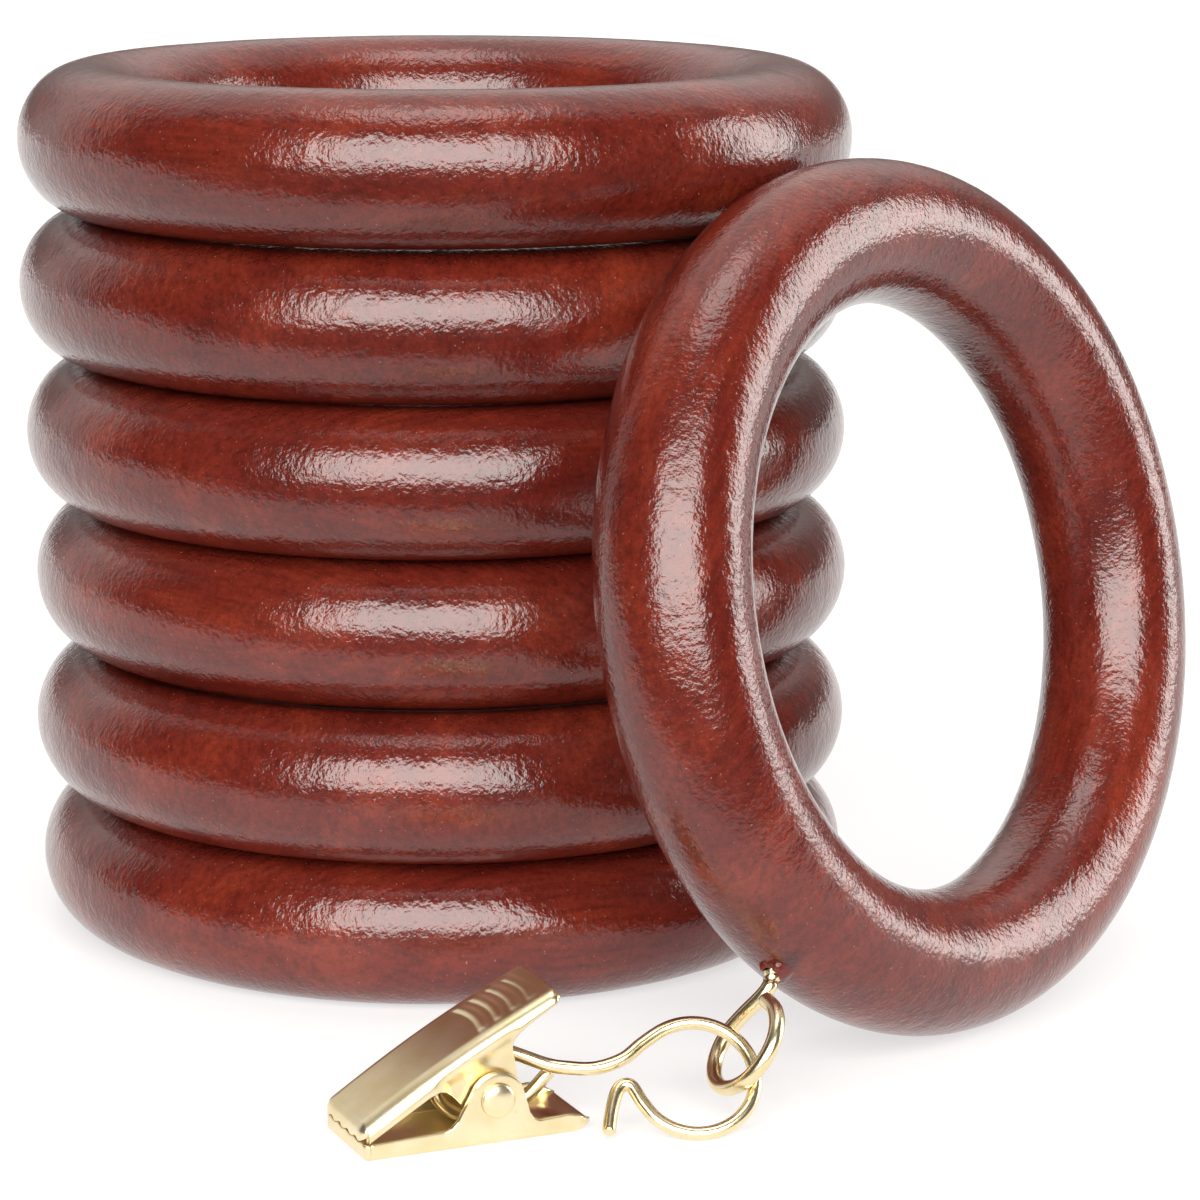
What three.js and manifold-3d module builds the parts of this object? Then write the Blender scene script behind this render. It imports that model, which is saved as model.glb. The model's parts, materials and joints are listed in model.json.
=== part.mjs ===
// A set of wooden curtain rings for a 35 mm rod, in millimetres, +Z up.
// Six plain rings lie in a stack. A seventh leans on it, and carries a screw eye,
// a bent wire hook and a sprung metal clip that grips the curtain's top edge.
import * as THREE from "three";
import { mergeVertices } from "three/addons/utils/BufferGeometryUtils.js";
import Module from "manifold-3d";

const wasm = await Module();
wasm.setup();

// Rings
const RING_OUTER_DIAMETER = 76;
const RING_WALL = 12.56; // between the hole and the outside, measured along a radius
const RING_THICKNESS = 13.3; // along the ring's axis
const RING_GAP = 0.26; // left between one ring and the next
const STACKED_RINGS = 6;
const RING_STEPS = 40;
const SECTION_STEPS = 16;

// How far each stacked ring sits off the stack's axis, from the bottom ring up
const STACK_OFFSETS = [
  [0.0, 1.6],
  [-0.1, -0.5],
  [0.1, 0.9],
  [-0.3, -0.7],
  [-0.6, -1.0],
  [-0.2, -3.3],
];

// The leaning ring
const LEAN_ANGLE = 12.84; // from upright, towards the stack
const LEAN_HEADING = -41.7; // the way its face looks, in plan
const LEAN_BEARING = -39.74; // the way from the stack's axis to its centre, in plan
const LEAN_TRIALS = 16;

// Screw eye
const EYE_AROUND_RING = -44.7; // from the ring's lowest point, round its axis
const EYE_TURN = 105; // how far the eye is screwed round its own shank
const EYE_WIRE = 1.3;
const EYE_LOOP_RADIUS = 3.95; // to the wire's centre line
const EYE_NECK = 3.25; // from the ring's surface to the top of the loop's centre line
const SHANK_DEPTH = 7;
const SHANK_CLEARANCE = 0.3;
const EYE_STARTS = 35; // where the loop leaves and comes back to the neck
const EYE_ENDS = 335;
const EYE_END_SHIFT = 0.8; // the open end passes beside the neck

// Clip, in its own frame: X from nose to tail, Y across, Z up, on the floor
const CLIP_HEADING = 21.5;
const CLIP_LENGTH = 19.7;
const CLIP_WIDTH = 8.9;
const SHEET = 0.5;
const RIVET_X = 11.4;
const RIVET_Z = 3.68;
const RIVET_RADIUS = 1.1;
const RIVET_CLEARANCE = 0.15;
const RIVET_HEAD_RADIUS = 1.45;
const RIVET_HEAD_HEIGHT = 0.55;
const EAR_RADIUS = 2.35;
const EAR_CLEARANCE = 0.3; // between the ears of the two jaws
const JAW_PITCH = 29.1; // slope of the upper jaw's back
const NOSE_HEIGHT = 2.76;
const UPPER_LENGTH = 19.35;
const LIP_HEIGHT = 1.4;
const LIP_CLEARANCE = 0.32;
const RAIL_HEIGHT = 1.7;
const TAIL_ROUND = 1.0; // how far the lower jaw's tail is cut back at its corners
const EAR_FLANK_FRONT = 158; // where the lower ears' round top begins and ends, in degrees
const EAR_FLANK_REAR = 22;
const EAR_FOOT_FRONT = 1.4; // how far the ears' feet stand out from the round top
const EAR_FOOT_REAR = 1.1;
const EAR_FILLET = 0.9;
const FLANK_DEPTH = 1.35; // of the upper jaw's sides behind its ears
const FLANK_TURN_X = 7.0; // where the upper jaw's sides turn down towards its ears
const FLANK_TURN_Z = 4.85;
const FLANK_REAR = 16.4; // where they turn back up, along the jaw's back
const RELIEF_FRONT = 140; // the part of the round that is cut free of the lower ears, in degrees
const RELIEF_REAR = 50;
const STEP_FRONT = 130; // the part of it where the sheet steps inwards, in degrees
const STEP_REAR = 60;
const EAR_BACK = 1.75; // the upper ears' rear edge, behind the rivet
const EAR_BACK_HEIGHT = 4.72;
const EAR_ROOT_REAR = 14.6; // where the upper ears meet the back, along it
const EAR_ROOT_FRONT = 11.0;

// Hook wire
const HOOK_WIRE = 1.12;
const LOOP_RADIUS = 4.9; // to the wire's centre line
const LOOP_REACH = [27.65, -6.8]; // its centre in the clip's frame, seen from above
const LOOP_FROM_EYE = [-4.94, -0.64, -1.89]; // and from the middle of the screw eye's loop
const LOOP_HEADING = -17.3;
const LOOP_SLOPE = 46.9; // of the loop's own plane
const LOOP_STARTS = 118;
const LOOP_ENDS = -155;
const LOOP_ARCS = 13;
const WIRE_SIDES = 8;
const HOOK_STEPS = 110;
const EYE_STEPS = 44;
const EYE_ARCS = 12;
const RIVET_SIDES = 20;
const HOLE_SIDES = 16;
const OUTLINE_STEPS = 6; // per curve of a plate's outline

const radians = THREE.MathUtils.degToRad;

const lacquer = new THREE.MeshStandardMaterial({ color: 0x6e1f16, roughness: 0.28, metalness: 0 });
const brass = new THREE.MeshStandardMaterial({ color: 0xd9c184, roughness: 0.22, metalness: 1 });
const brassWire = new THREE.MeshStandardMaterial({ color: 0xcdb373, roughness: 0.28, metalness: 1 });

// ---- solids -------------------------------------------------------------

function solidOf(geometry) {
  const bare = geometry.clone();
  bare.deleteAttribute("normal");
  bare.deleteAttribute("uv");
  const merged = mergeVertices(bare, 1e-4);
  return new wasm.Manifold(
    new wasm.Mesh({
      numProp: 3,
      vertProperties: new Float32Array(merged.attributes.position.array),
      triVerts: new Uint32Array(merged.index.array),
    }),
  );
}

function geometryOf(solid) {
  const found = solid.getMesh();
  const geometry = new THREE.BufferGeometry();
  geometry.setAttribute("position", new THREE.BufferAttribute(found.vertProperties, 3));
  geometry.setIndex(new THREE.BufferAttribute(found.triVerts, 1));
  geometry.computeVertexNormals();
  return geometry;
}

function named(name, geometry, material) {
  const mesh = new THREE.Mesh(geometry, material);
  mesh.name = name;
  return mesh;
}

// A plate cut to an outline in the clip's XZ plane, between two Y positions.
function plate(outline, yLow, yHigh) {
  const geometry = new THREE.ExtrudeGeometry(outline, {
    depth: yHigh - yLow,
    bevelEnabled: false,
    curveSegments: OUTLINE_STEPS,
  });
  geometry.rotateX(Math.PI / 2);
  geometry.translate(0, yHigh, 0);
  return solidOf(geometry);
}

function bothSides(outline, yInner, yOuter) {
  return plate(outline, yInner, yOuter).add(plate(outline, -yOuter, -yInner));
}

function wire(points, diameter, steps) {
  const section = new THREE.Shape().absarc(0, 0, diameter / 2, 0, 2 * Math.PI);
  return new THREE.ExtrudeGeometry(section, {
    extrudePath: new THREE.CatmullRomCurve3(points),
    steps,
    curveSegments: WIRE_SIDES / 2,
  });
}

// A cylinder along the clip's Y axis, at the rivet.
function rivetCylinder(radius, length) {
  const geometry = new THREE.CylinderGeometry(radius, radius, length, RIVET_SIDES);
  geometry.translate(RIVET_X, 0, RIVET_Z);
  return solidOf(geometry);
}

// ---- rings --------------------------------------------------------------

// The section's flats touch the round it stands for, so a ring rests on a flat band.
function ringGeometry() {
  const wall = RING_WALL / 2;
  const half = RING_THICKNESS / 2;
  const middle = RING_OUTER_DIAMETER / 2 - wall;
  const outside = 1 / Math.cos(Math.PI / SECTION_STEPS);
  const profile = [];
  for (let i = 0; i <= SECTION_STEPS; i += 1) {
    const angle = ((i % SECTION_STEPS) + 0.5) * ((2 * Math.PI) / SECTION_STEPS);
    const out = middle + wall * outside * Math.cos(angle);
    const up = half * outside * Math.sin(angle);
    profile.push(new THREE.Vector2(out, up));
  }
  const geometry = new THREE.LatheGeometry(profile, RING_STEPS);
  geometry.rotateX(Math.PI / 2);
  return geometry;
}

function stackedRings() {
  const stack = new THREE.Group();
  for (let i = 0; i < STACKED_RINGS; i += 1) {
    const ring = named("ring_" + (i + 1), ringGeometry(), lacquer);
    const [x, y] = STACK_OFFSETS[i];
    ring.position.set(x, y, RING_THICKNESS / 2 + i * (RING_THICKNESS + RING_GAP));
    stack.add(ring);
  }
  return stack;
}

// The clip ring has a pilot hole from outside, along a radius, for the eye's shank.
function clipRing() {
  const holeRadius = EYE_WIRE / 2 + SHANK_CLEARANCE;
  const holeLength = SHANK_DEPTH + SHANK_CLEARANCE;
  const outer = RING_OUTER_DIAMETER / 2;
  const hole = new THREE.CylinderGeometry(holeRadius, holeRadius, 2 * holeLength, HOLE_SIDES);
  hole.rotateZ(Math.PI / 2);
  hole.translate(outer, 0, 0);
  hole.rotateZ(radians(EYE_AROUND_RING));
  const solid = solidOf(ringGeometry()).subtract(solidOf(hole));
  return named("clip_ring", geometryOf(solid), lacquer);
}

// In its own plane: X along the shank, away from the ring's centre.
function screwEye() {
  const outer = RING_OUTER_DIAMETER / 2;
  const loopTop = outer + EYE_NECK;
  const centre = loopTop + EYE_LOOP_RADIUS;
  const points = [];
  for (const along of [outer - SHANK_DEPTH, outer - SHANK_DEPTH / 2, outer, loopTop - EYE_WIRE]) {
    points.push(new THREE.Vector3(along, 0, 0));
  }
  for (let i = 0; i <= EYE_ARCS; i += 1) {
    const share = i / EYE_ARCS;
    const angle = radians(EYE_STARTS + share * (EYE_ENDS - EYE_STARTS));
    points.push(
      new THREE.Vector3(
        centre - EYE_LOOP_RADIUS * Math.cos(angle),
        -EYE_LOOP_RADIUS * Math.sin(angle),
        EYE_END_SHIFT * share ** 5,
      ),
    );
  }
  return named("screw_eye", wire(points, EYE_WIRE, EYE_STEPS), brassWire);
}

// A mesh's solid, where the mesh stands in its group.
function placedSolid(mesh) {
  mesh.updateWorldMatrix(true, false);
  return solidOf(mesh.geometry.clone().applyMatrix4(mesh.matrixWorld));
}

// The leaning ring is lowered until it stands on the floor, then slid towards the stack
// until RING_GAP is left between them.
function leaningRing(stack) {
  const ring = new THREE.Group();
  ring.rotation.order = "ZYX";
  ring.rotation.set(0, radians(90 - LEAN_ANGLE), radians(LEAN_HEADING));
  const body = clipRing();
  ring.add(body);
  const eyePlace = new THREE.Group();
  eyePlace.rotation.order = "ZYX";
  eyePlace.rotation.set(radians(EYE_TURN), 0, radians(EYE_AROUND_RING));
  eyePlace.add(screwEye());
  ring.add(eyePlace);
  ring.updateMatrixWorld(true);
  const low = new THREE.Box3().setFromObject(body, true).min.z;

  const bearing = radians(LEAN_BEARING);
  const placeAt = (distance) =>
    ring.position.set(distance * Math.cos(bearing), distance * Math.sin(bearing), -low);
  const stackSolid = wasm.Manifold.union(stack.children.map(placedSolid));
  let near = RING_OUTER_DIAMETER / 2;
  let far = RING_OUTER_DIAMETER;
  for (let i = 0; i < LEAN_TRIALS; i += 1) {
    const trial = (near + far) / 2;
    placeAt(trial);
    const gap = placedSolid(body).minGap(stackSolid, 2 * RING_GAP);
    if (gap < RING_GAP) near = trial;
    else far = trial;
  }
  placeAt(far);
  return ring;
}

// The middle of the screw eye's loop, seen from outside the leaning ring.
function eyeMiddle(ring) {
  ring.updateMatrixWorld(true);
  const along = RING_OUTER_DIAMETER / 2 + EYE_NECK + EYE_LOOP_RADIUS;
  return ring.getObjectByName("screw_eye").localToWorld(new THREE.Vector3(along, 0, 0));
}

// ---- clip ---------------------------------------------------------------

const rivetAt = (radius, degrees) => [
  RIVET_X + radius * Math.cos(radians(degrees)),
  RIVET_Z + radius * Math.sin(radians(degrees)),
];

// The point a distance along the upper jaw's back and a depth below it.
const onBack = (along, depth) => [
  along * Math.cos(radians(JAW_PITCH)) + depth * Math.sin(radians(JAW_PITCH)) - SHEET / 2,
  NOSE_HEIGHT + along * Math.sin(radians(JAW_PITCH)) - depth * Math.cos(radians(JAW_PITCH)),
];

function polygon(points) {
  return new THREE.Shape(points.map(([x, y]) => new THREE.Vector2(x, y)));
}

function lowerJaw() {
  const half = CLIP_WIDTH / 2;
  const pan = polygon([
    [0, 0],
    [CLIP_LENGTH - TAIL_ROUND, 0],
    [CLIP_LENGTH, SHEET],
    [CLIP_LENGTH - TAIL_ROUND / 2, 2 * SHEET],
    [CLIP_LENGTH - TAIL_ROUND, SHEET],
    [SHEET, SHEET],
    [SHEET, LIP_HEIGHT],
    [0, LIP_HEIGHT],
  ]);
  const side = new THREE.Shape();
  const frontFoot = RIVET_X - EAR_RADIUS - EAR_FOOT_FRONT;
  const rearFoot = RIVET_X + EAR_RADIUS + EAR_FOOT_REAR;
  side.moveTo(0, 0);
  side.lineTo(CLIP_LENGTH - TAIL_ROUND, 0);
  side.lineTo(CLIP_LENGTH, SHEET);
  side.lineTo(CLIP_LENGTH - TAIL_ROUND / 2, 2 * SHEET);
  side.lineTo(CLIP_LENGTH - 2 * TAIL_ROUND, RAIL_HEIGHT);
  side.lineTo(rearFoot + EAR_FILLET, RAIL_HEIGHT);
  side.quadraticCurveTo(rearFoot, RAIL_HEIGHT, rearFoot - EAR_FILLET / 2, RAIL_HEIGHT + EAR_FILLET);
  side.absarc(RIVET_X, RIVET_Z, EAR_RADIUS, radians(EAR_FLANK_REAR), radians(EAR_FLANK_FRONT));
  side.lineTo(frontFoot + EAR_FILLET / 2, RAIL_HEIGHT + EAR_FILLET);
  side.quadraticCurveTo(frontFoot, RAIL_HEIGHT, frontFoot - EAR_FILLET, RAIL_HEIGHT);
  side.lineTo(0, LIP_HEIGHT);
  const solid = plate(pan, -half, half)
    .add(bothSides(side, half - SHEET, half))
    .subtract(rivetCylinder(RIVET_RADIUS + RIVET_CLEARANCE, 2 * CLIP_WIDTH));
  return named("lower_jaw", geometryOf(solid), brass);
}

// A pressed channel. Its sides are level with the lower jaw's, and step inwards
// round the rivet, so that its own ears run inside the lower jaw's ears.
function upperJaw() {
  const half = CLIP_WIDTH / 2;
  const earOuter = half - SHEET - EAR_CLEARANCE;
  const earInner = earOuter - SHEET;
  const lipFoot = LIP_HEIGHT + LIP_CLEARANCE;
  const channel = polygon([
    onBack(0, 0),
    onBack(UPPER_LENGTH, 0),
    onBack(UPPER_LENGTH, SHEET),
    onBack(2 * SHEET, SHEET),
    [2 * SHEET, lipFoot],
    [SHEET, lipFoot],
  ]);
  const relief = EAR_RADIUS + EAR_CLEARANCE;
  const earBack = [RIVET_X + EAR_BACK, RIVET_Z + EAR_BACK_HEIGHT];
  const flank = new THREE.Shape();
  flank.moveTo(...onBack(0, 0));
  flank.lineTo(SHEET, lipFoot);
  flank.lineTo(2 * SHEET, lipFoot);
  flank.lineTo(FLANK_TURN_X, FLANK_TURN_Z);
  flank.lineTo(...rivetAt(relief, RELIEF_FRONT));
  flank.absarc(RIVET_X, RIVET_Z, relief, radians(RELIEF_FRONT), radians(RELIEF_REAR), true);
  flank.lineTo(...earBack);
  flank.quadraticCurveTo(earBack[0], earBack[1] + 2 * SHEET, ...onBack(FLANK_REAR, FLANK_DEPTH));
  flank.lineTo(...onBack(UPPER_LENGTH - SHEET, SHEET));
  flank.lineTo(...onBack(UPPER_LENGTH, 0));
  const ear = new THREE.Shape();
  ear.moveTo(...rivetAt(EAR_RADIUS, 180));
  ear.absarc(RIVET_X, RIVET_Z, EAR_RADIUS, radians(180), radians(360));
  ear.lineTo(...earBack);
  ear.lineTo(...onBack(EAR_ROOT_REAR, SHEET / 2));
  ear.lineTo(...onBack(EAR_ROOT_FRONT, SHEET / 2));
  const step = new THREE.Shape();
  const stepOuter = relief + 2 * SHEET;
  step.absarc(RIVET_X, RIVET_Z, stepOuter, radians(STEP_REAR), radians(STEP_FRONT), false);
  step.absarc(RIVET_X, RIVET_Z, relief, radians(STEP_FRONT), radians(STEP_REAR), true);
  const solid = plate(channel, -half, half)
    .add(bothSides(flank, half - SHEET, half))
    .add(bothSides(ear, earInner, earOuter))
    .add(bothSides(step, earInner, half))
    .subtract(rivetCylinder(RIVET_RADIUS + RIVET_CLEARANCE, 2 * CLIP_WIDTH));
  return named("upper_jaw", geometryOf(solid), brass);
}

function rivet() {
  const half = CLIP_WIDTH / 2 + RIVET_CLEARANCE / 2;
  const domeSteps = 4;
  const profile = [];
  for (let i = 0; i <= domeSteps; i += 1) {
    const angle = (i / domeSteps) * (Math.PI / 2);
    const out = i === 0 ? 0 : RIVET_HEAD_RADIUS * Math.sin(angle);
    profile.push(new THREE.Vector2(out, half + RIVET_HEAD_HEIGHT * Math.cos(angle)));
  }
  profile.push(new THREE.Vector2(RIVET_RADIUS, half));
  const lower = profile.map((point) => new THREE.Vector2(point.x, -point.y)).reverse();
  const geometry = new THREE.LatheGeometry([...profile, ...lower].reverse(), RIVET_SIDES);
  geometry.translate(RIVET_X, 0, RIVET_Z);
  return named("rivet", geometry, brass);
}

// One wire: its inner end goes round the rivet, where it springs the jaws shut,
// and its outer end is bent to an open loop with a small bump that shuts the loop.
function hookWire(loopHeight) {
  // Forward, across and up from the rivet's middle, from the wire's cut end
  const inner = [
    [5.8, -1.0, 0.52],
    [3.9, -1.0, -1.18],
    [2.0, -0.9, -1.98],
    [0.3, -0.8, -2.25],
    [-1.2, -0.7, -2.25],
    [-2.8, -0.6, -1.58],
    [-3.8, -0.5, -0.18],
    [-3.6, -0.5, 1.32],
    [-2.2, -0.6, 2.52],
    [-0.3, -0.7, 3.17],
    [1.6, -0.9, 3.02],
    [3.2, -1.3, 2.42],
  ];
  const points = inner.map(([x, y, z]) => new THREE.Vector3(RIVET_X + x, y, RIVET_Z + z));
  // In the loop's own plane, from its centre
  const approach = [
    [-12.0, 1.65],
    [-10.4, 1.3],
    [-8.1, 1.15],
    [-5.8, 1.85],
    [-4.1, 3.15],
  ];
  const tip = [
    [-5.2, -0.6],
    [-5.9, -0.45],
    [-6.5, -1.1],
    [-7.0, -2.65],
    [-7.35, -4.35],
  ];
  const round = [];
  for (let i = 0; i <= LOOP_ARCS; i += 1) {
    const angle = radians(LOOP_STARTS + (i / LOOP_ARCS) * (LOOP_ENDS - LOOP_STARTS));
    round.push([LOOP_RADIUS * Math.cos(angle), LOOP_RADIUS * Math.sin(angle)]);
  }
  const plane = new THREE.Group();
  plane.rotation.order = "ZYX";
  plane.rotation.set(radians(LOOP_SLOPE), 0, radians(LOOP_HEADING));
  plane.position.set(...LOOP_REACH, loopHeight);
  plane.updateMatrixWorld(true);
  for (const [x, y] of [...approach, ...round, ...tip]) {
    points.push(plane.localToWorld(new THREE.Vector3(x, y, 0)));
  }
  return named("hook_wire", wire(points, HOOK_WIRE, HOOK_STEPS), brassWire);
}

// The clip lies on the floor, where its hook's loop is linked with the screw eye's.
function clip(eye) {
  const group = new THREE.Group();
  const loopHeight = eye.z + LOOP_FROM_EYE[2];
  group.add(lowerJaw(), upperJaw(), rivet(), hookWire(loopHeight));
  group.rotation.z = radians(CLIP_HEADING);
  const reach = new THREE.Vector3(...LOOP_FROM_EYE);
  reach.sub(new THREE.Vector3(...LOOP_REACH, 0)).applyEuler(group.rotation);
  group.position.set(eye.x + reach.x, eye.y + reach.y, 0);
  return group;
}

// ---- the whole set, with its origin under the middle of its box -----------

const set = new THREE.Group();
const stack = stackedRings();
const leaning = leaningRing(stack);
set.add(stack, leaning, clip(eyeMiddle(leaning)));
set.updateMatrixWorld(true);
const bounds = new THREE.Box3().setFromObject(set, true);
const middle = bounds.getCenter(new THREE.Vector3());
set.position.set(-middle.x, -middle.y, -bounds.min.z);

export default set;
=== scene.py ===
# Glossy wooden curtain rings and a sprung brass clip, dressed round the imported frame.
# Lengths are in millimetres in each piece's own frame, and become metres in its mesh.
import json
from math import acos, cos, hypot, pi, radians, sin, tan, tau

import bmesh
import bpy
import numpy as np
from mathutils import Matrix, Vector, noise


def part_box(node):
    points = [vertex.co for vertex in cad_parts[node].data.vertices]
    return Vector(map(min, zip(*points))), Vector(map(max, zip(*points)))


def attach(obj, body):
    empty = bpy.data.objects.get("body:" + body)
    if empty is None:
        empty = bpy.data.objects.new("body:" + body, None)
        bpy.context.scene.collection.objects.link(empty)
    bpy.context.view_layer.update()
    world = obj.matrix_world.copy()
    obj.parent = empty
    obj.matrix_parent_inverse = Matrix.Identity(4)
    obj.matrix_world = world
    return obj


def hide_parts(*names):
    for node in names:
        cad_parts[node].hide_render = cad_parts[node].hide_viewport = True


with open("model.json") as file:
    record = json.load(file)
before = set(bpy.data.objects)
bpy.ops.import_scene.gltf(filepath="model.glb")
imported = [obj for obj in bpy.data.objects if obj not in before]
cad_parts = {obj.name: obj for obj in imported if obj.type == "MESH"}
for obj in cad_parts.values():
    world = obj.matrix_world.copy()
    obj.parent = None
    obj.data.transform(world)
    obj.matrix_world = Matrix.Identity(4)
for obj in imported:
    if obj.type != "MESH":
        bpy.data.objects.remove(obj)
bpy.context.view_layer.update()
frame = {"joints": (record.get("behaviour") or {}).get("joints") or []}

MM = 0.001
STACKED_RINGS = 6
JOINTS = {joint["name"]: joint for joint in frame["joints"]}

# Sizes that the CAD model has too
RING_OUTER = 38.0  # radius
WALL = 12.56
LEAN_ANGLE = 12.84
EYE_AROUND_RING = -44.7
EYE_TURN = 105
EYE_WIRE = 1.3
EYE_LOOP_RADIUS = 3.95
EYE_NECK = 3.25
EYE_STARTS = 35
EYE_ENDS = 335
EYE_END_SHIFT = 0.8
SHEET = 0.5
CLIP_LENGTH = 19.7
CLIP_HALF_WIDTH = 4.45
RIVET_X = 11.4
RIVET_Z = 3.68
RIVET_HEAD_RADIUS = 1.45
RIVET_HEAD_HEIGHT = 0.55
EAR_RADIUS = 2.35
JAW_PITCH = 29.1
NOSE_HEIGHT = 2.76
UPPER_LENGTH = 19.35
LIP_HEIGHT = 1.4
HOOK_WIRE = 1.12
LOOP_RADIUS = 4.9
LOOP_HEADING = -17.3
LOOP_SLOPE = 46.9
LOOP_STARTS = 118
LOOP_ENDS = -155


# ---- small tools ----------------------------------------------------------

SEED_WAY = Vector((37.1, 11.3, 5.7))
WELD = 1e-7  # metres
SHARP_ANGLE = 50


def smooth(low, high, value):
    share = min(max((value - low) / (high - low), 0), 1)
    return share * share * (3 - 2 * share)


def mixed(a, b, share):
    return a + (b - a) * share


def through(points, x):
    """The height at x of the straight lines through points given as (x, height)."""
    xs, ys = zip(*points)
    return float(np.interp(x, xs, ys))


def curve_through(points, count):
    """A Catmull-Rom curve through points, as count + 1 vectors evenly spaced along it."""
    ends = [2 * points[0] - points[1], *points, 2 * points[-1] - points[-2]]
    fine = []
    per_span = 24
    for a, b, c, d in zip(ends, ends[1:], ends[2:], ends[3:]):
        for i in range(per_span):
            t = i / per_span
            fine.append(0.5 * (2 * b + (c - a) * t + (2 * a - 5 * b + 4 * c - d) * t * t
                               + (3 * b - a - 3 * c + d) * t ** 3))
    fine.append(points[-1])
    lengths = np.concatenate([[0], np.cumsum([(q - p).length for p, q in zip(fine, fine[1:])])])
    array = np.array(fine)
    wanted = np.linspace(0, lengths[-1], count + 1)
    return [Vector([np.interp(s, lengths, array[:, k]) for k in range(3)]) for s in wanted]


def make_piece(name, points, faces, material, body, place, replaces, seed=0.0, extra=()):
    """A closed mesh in place, which rides on a body and stands for the CAD node named in replaces.

    The points are in millimetres. seed gives the piece its own part of the materials' patterns. extra
    gives more attributes, each as (name, kind, function of a point in millimetres).
    """
    mesh = bpy.data.meshes.new(name)
    mesh.from_pydata([Vector(p) * MM for p in points], [], faces)
    work = bmesh.new()
    work.from_mesh(mesh)
    bmesh.ops.remove_doubles(work, verts=work.verts, dist=WELD)
    bmesh.ops.recalc_face_normals(work, faces=work.faces)
    work.to_mesh(mesh)
    work.free()
    mesh.validate()
    mesh.shade_smooth()
    mesh.set_sharp_from_angle(angle=radians(SHARP_ANGLE))
    shift = SEED_WAY * seed
    for label, kind, value_at in (("grain", "FLOAT_VECTOR", lambda point: point + shift), *extra):
        values = np.array([value_at(vertex.co / MM) for vertex in mesh.vertices], np.float32).ravel()
        field = "vector" if kind == "FLOAT_VECTOR" else "value"
        mesh.attributes.new(label, kind, "POINT").data.foreach_set(field, values)
    mesh.transform(place)
    mesh.materials.append(material)
    piece = bpy.data.objects.new(name, mesh)
    bpy.context.scene.collection.objects.link(piece)
    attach(piece, body)
    if replaces:
        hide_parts(replaces)
    return piece


def loops_to_faces(loops, size, closed):
    """Quads between successive loops of size points, and between the last and first if closed."""
    faces = []
    spans = loops if closed else loops - 1
    for i in range(spans):
        j = (i + 1) % loops
        for k in range(size):
            n = (k + 1) % size
            faces.append((i * size + k, j * size + k, j * size + n, i * size + n))
    return faces


# ---- materials ------------------------------------------------------------

def new_material(name):
    material = bpy.data.materials.new(name)
    material.use_nodes = True
    nodes = material.node_tree.nodes
    return material, nodes, material.node_tree.links, nodes["Principled BSDF"]


def attribute_node(nodes, name):
    node = nodes.new("ShaderNodeAttribute")
    node.attribute_name = name
    return node


def stretched(nodes, links, source, scale):
    mapping = nodes.new("ShaderNodeMapping")
    mapping.inputs["Scale"].default_value = scale
    links.new(source, mapping.inputs["Vector"])
    return mapping.outputs["Vector"]


def noise_node(nodes, links, vector, scale, detail=3.0, roughness=0.5):
    node = nodes.new("ShaderNodeTexNoise")
    node.inputs["Scale"].default_value = scale
    node.inputs["Detail"].default_value = detail
    node.inputs["Roughness"].default_value = roughness
    links.new(vector, node.inputs["Vector"])
    return node.outputs["Fac"]


def ramp(nodes, links, value, stops):
    """Colours or grey values at places along value."""
    node = nodes.new("ShaderNodeValToRGB")
    elements = node.color_ramp.elements
    while len(elements) < len(stops):
        elements.new(0.5)
    for element, (place, colour) in zip(elements, stops):
        element.position = place
        element.color = (*colour, 1) if isinstance(colour, tuple) else (colour, colour, colour, 1)
    links.new(value, node.inputs["Fac"])
    return node.outputs["Color"]


MIX_A, MIX_B, MIX_RESULT = 6, 7, 2  # the colour sockets of a Mix node


def blend_colours(nodes, links, share, first, second, kind="MIX"):
    node = nodes.new("ShaderNodeMix")
    node.data_type = "RGBA"
    node.blend_type = kind
    for index, value in ((0, share), (MIX_A, first), (MIX_B, second)):
        if isinstance(value, float):
            node.inputs[index].default_value = value
        elif isinstance(value, tuple):
            node.inputs[index].default_value = (*value, 1)
        else:
            links.new(value, node.inputs[index])
    return node.outputs[MIX_RESULT]


def bump(nodes, links, height, strength, distance_mm, before=None):
    node = nodes.new("ShaderNodeBump")
    node.inputs["Strength"].default_value = strength
    node.inputs["Distance"].default_value = distance_mm * MM
    links.new(height, node.inputs["Height"])
    if before:
        links.new(before, node.inputs["Normal"])
    return node.outputs["Normal"]


# The varnish's colours, as linear red, green and blue
LACQUER_DARK = (0.096, 0.0095, 0.0060)
LACQUER_MIDDLE = (0.138, 0.0155, 0.0085)
LACQUER_LIGHT = (0.215, 0.0300, 0.0135)
LACQUER_DRIP = (0.030, 0.0020, 0.0016)
SPECK = (0.42, 0.22, 0.16)

# Its patterns, per millimetre: along and across the grain where there are three numbers
CLOUD_SCALE = (0.05, 0.14, 0.14)
STREAK_SCALE = (0.12, 1.6, 1.6)
MOTTLE_SCALE = 1.5
FLECK_SCALE = 3.4
SPECK_SCALE = 4.6
GLOSS_SCALE = 0.35
SWELL_SCALE = 0.55
PEEL_SCALE = 2.3
WRINKLE_SCALE = 1.5

# The heights of its unevenness, in millimetres
SWELL_HEIGHT = 0.20
PEEL_HEIGHT = 0.105
WRINKLE_HEIGHT = 0.045


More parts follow.
